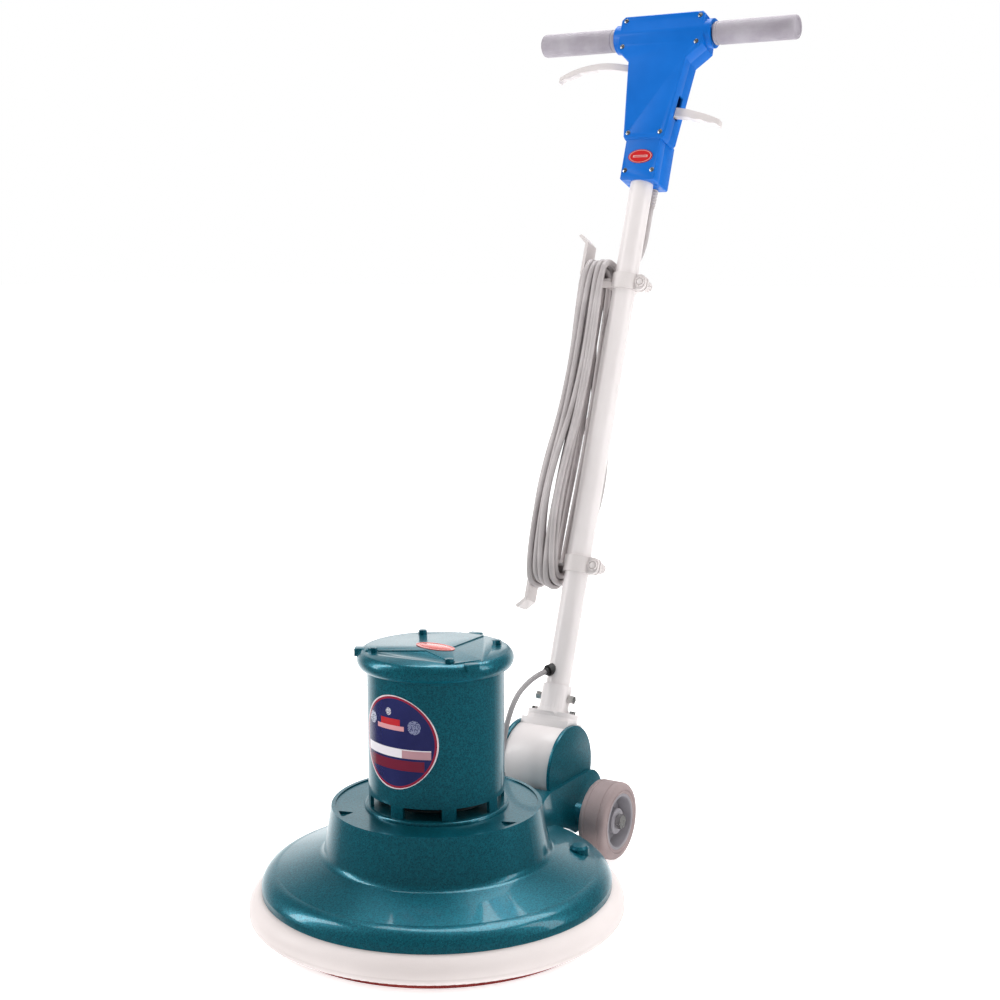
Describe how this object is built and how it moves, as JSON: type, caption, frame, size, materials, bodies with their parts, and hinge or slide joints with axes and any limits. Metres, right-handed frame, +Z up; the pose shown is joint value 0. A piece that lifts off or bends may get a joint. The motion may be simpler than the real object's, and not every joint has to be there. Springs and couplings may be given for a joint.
{
  "type": "high speed burnisher",
  "caption": "Upright single-disc floor polishing machine: round skirted deck with a vertical motor, rear transport wheels, and a tilting tube handle with grips, levers and wound cord.",
  "frame": {"origin": "on the floor under the disc's axis, at the middle of the pad's underside", "axes": "+Z up along the disc's axis; -Y is the machine's front and +Y the operator's side; +X is the side of the levers' release arm, square to the handle's plane of tilt"},
  "size_m": [0.4446, 0.8646, 1.1144],
  "materials": {
    "hammered_green": "dark blue-green hammered paint, glossy, with a fine metallic grain",
    "pale_rubber": "light warm grey bumper rubber, satin",
    "pale_paint": "light warm grey powder coat, satin",
    "pale_plastic": "light warm grey moulded plastic",
    "steel": "zinc-plated steel",
    "dark_steel": "machined alloy steel, oiled",
    "core_steel": "stacked electrical steel sheets",
    "copper": "enamelled copper wire, varnished; brass stands in for copper",
    "cast_alloy": "die-cast aluminium, unpainted",
    "blue_plastic": "bright blue moulded plastic, semi-gloss",
    "badge_navy": "glossy round label, dark navy with a pale rim",
    "badge_red": "small glossy red oval label",
    "grip_plastic": "mid grey stippled soft plastic",
    "wheel_rubber": "mid grey solid rubber",
    "wheel_plastic": "mid grey moulded plastic",
    "cord_grey": "mid grey cord jacket",
    "lead_grey": "grey motor lead jacket",
    "black_plastic": "black moulded plastic",
    "pad_fibre": "non-woven nylon pad",
    "driver_plastic": "black moulded plastic"
  },
  "bodies": {
    "base": {"deck_casting": "hammered_green", "rear_fork": "hammered_green", "bumper_ring": "pale_rubber", "vent_ring": "hammered_green", "motor_can": "hammered_green", "motor_cover": "hammered_green", "cover_fasteners": "hammered_green", "front_badge": "badge_navy", "stator_core": "core_steel", "stator_windings": "copper", "motor_bearings": "dark_steel", "ring_gear": "dark_steel", "gearbox_plate": "cast_alloy", "output_bearing": "dark_steel", "gearbox_screws": "steel", "pivot_pin": "steel", "brake_disc": "dark_steel", "wheel_bolts": "steel", "lead_gland": "black_plastic", "motor_lead": "lead_grey"},
    "rotor": {"rotor_shaft": "dark_steel", "rotor_core": "core_steel", "cooling_fan": "black_plastic"},
    "disc": {"planet_carrier": "dark_steel", "drive_plate": "cast_alloy", "pad_driver": "driver_plastic", "floor_pad": "pad_fibre"},
    "planet_1": {"planet_gear_1": "dark_steel"},
    "planet_2": {"planet_gear_2": "dark_steel"},
    "planet_3": {"planet_gear_3": "dark_steel"},
    "handle": {"tilt_drum": "pale_paint", "drum_end_plate": "pale_paint", "neck_socket": "pale_paint", "neck_bolts": "steel", "handle_tube": "pale_paint", "tube_grommet": "black_plastic", "upper_hook": "pale_plastic", "lower_hook": "pale_plastic", "hook_bolts": "pale_plastic", "head_front_shell": "blue_plastic", "head_rear_shell": "blue_plastic", "head_screws": "steel", "head_badge": "badge_red", "handlebar": "steel", "left_grip": "grip_plastic", "right_grip": "grip_plastic", "lever_pins": "steel", "trigger_switch": "black_plastic", "cord_gland": "cord_grey", "mains_cord": "cord_grey", "cord_hank": "cord_grey", "mains_plug": "cord_grey"},
    "switch": {"switch_lever": "pale_plastic"},
    "release": {"release_lever": "pale_plastic"},
    "brake": {"brake_rod": "steel", "brake_spring": "steel"},
    "left_wheel": {"left_tyre": "wheel_rubber", "left_hub": "wheel_plastic"},
    "right_wheel": {"right_tyre": "wheel_rubber", "right_hub": "wheel_plastic"}
  },
  "joints": [
    {"name": "disc_spin", "type": "hinge", "parent": "base", "child": "disc", "pos_m": [0, 0, 0.08], "axis": [0, 0, 1], "continuous": true},
    {"name": "rotor_spin", "type": "hinge", "parent": "base", "child": "rotor", "pos_m": [0, 0, 0.2], "axis": [0, 0, 1], "continuous": true},
    {"name": "planet_1_spin", "type": "hinge", "parent": "disc", "child": "planet_1", "pos_m": [0, 0.03, 0.1125], "axis": [0, 0, 1], "continuous": true},
    {"name": "planet_2_spin", "type": "hinge", "parent": "disc", "child": "planet_2", "pos_m": [-0.02598, -0.015, 0.1125], "axis": [0, 0, 1], "continuous": true},
    {"name": "planet_3_spin", "type": "hinge", "parent": "disc", "child": "planet_3", "pos_m": [0.02598, -0.015, 0.1125], "axis": [0, 0, 1], "continuous": true},
    {"name": "handle_tilt", "type": "hinge", "parent": "base", "child": "handle", "pos_m": [0, 0.26, 0.113], "axis": [-1, 0, 0], "range_deg": [-20, 50], "deforming": ["motor_lead"]},
    {"name": "switch_press", "type": "hinge", "parent": "handle", "child": "switch", "pos_m": [-0.014, 0.59415, 1.03108], "axis": [0, 0.9397, -0.342], "range_deg": [0, 8], "stiffness_Nm_per_rad": 0.6, "springref_deg": -20.05},
    {"name": "brake_slide", "type": "slide", "parent": "handle", "child": "brake", "axis": [0, 0.342, 0.9397], "range_m": [0, 0.005], "stiffness_N_per_m": 1500, "springref_m": -0.008, "deforming": ["brake_spring"]},
    {"name": "release_pull", "type": "hinge", "parent": "handle", "child": "release", "pos_m": [-0.016, 0.57534, 0.9794], "axis": [0, -0.9397, 0.342], "range_deg": [0, 18]},
    {"name": "left_wheel_spin", "type": "hinge", "parent": "base", "child": "left_wheel", "pos_m": [-0.099, 0.254, 0.058], "axis": [1, 0, 0], "continuous": true},
    {"name": "right_wheel_spin", "type": "hinge", "parent": "base", "child": "right_wheel", "pos_m": [0.099, 0.254, 0.058], "axis": [1, 0, 0], "continuous": true}
  ],
  "couplings": [
    {"joint": "rotor_spin", "follows": "disc_spin", "ratio": 4},
    {"joint": "planet_1_spin", "follows": "disc_spin", "ratio": -3},
    {"joint": "planet_2_spin", "follows": "disc_spin", "ratio": -3},
    {"joint": "planet_3_spin", "follows": "disc_spin", "ratio": -3},
    {"joint": "release_pull", "follows": "brake_slide", "rad_per_m": 62.5}
  ]
}
